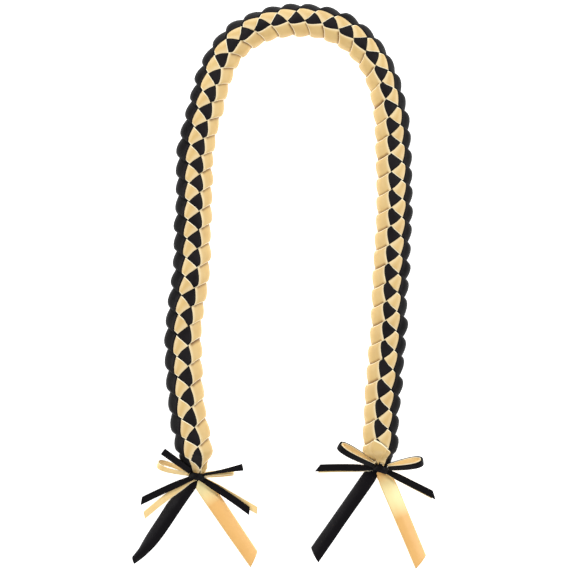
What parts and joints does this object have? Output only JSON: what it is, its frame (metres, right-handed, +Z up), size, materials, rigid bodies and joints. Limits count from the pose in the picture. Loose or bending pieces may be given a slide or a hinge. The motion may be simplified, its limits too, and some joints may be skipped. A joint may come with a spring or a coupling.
{
  "type": "braided ribbon graduation lei",
  "caption": "Open garland of black and gold satin ribbon plaited into a thick flat band, each end tied with a small ribbon bow and trailing tails.",
  "frame": {"origin": "on the table, under the middle of the outline's bounding box", "axes": "+Z up from the table, +Y from the open ends towards the closed top of the U, +X from its left end to its right end seen from above"},
  "size_m": [0.2762, 0.516, 0.024],
  "materials": {
    "plaited_satin": "black and gold polyester satin ribbon, plaited",
    "black_satin": "black polyester satin ribbon with woven edges",
    "gold_satin": "pale gold polyester satin ribbon with woven edges"
  },
  "bodies": {
    "root": {"braid": "plaited_satin", "left_knot": "black_satin", "right_knot": "black_satin", "left_wide_tail_black": "black_satin", "left_wide_tail_gold": "gold_satin", "right_wide_tail_black": "black_satin", "right_wide_tail_gold": "gold_satin", "left_narrow_tail_black_outer": "black_satin", "left_loop_black_outer": "black_satin", "left_narrow_tail_gold_outer": "gold_satin", "left_loop_gold_outer": "gold_satin", "left_narrow_tail_black_inner": "black_satin", "left_loop_black_inner": "black_satin", "left_narrow_tail_gold_inner": "gold_satin", "left_loop_gold_inner": "gold_satin", "right_narrow_tail_black_outer": "black_satin", "right_loop_black_outer": "black_satin", "right_narrow_tail_gold_outer": "gold_satin", "right_loop_gold_outer": "gold_satin", "right_narrow_tail_black_inner": "black_satin", "right_loop_black_inner": "black_satin", "right_narrow_tail_gold_inner": "gold_satin", "right_loop_gold_inner": "gold_satin"}
  },
  "joints": []
}
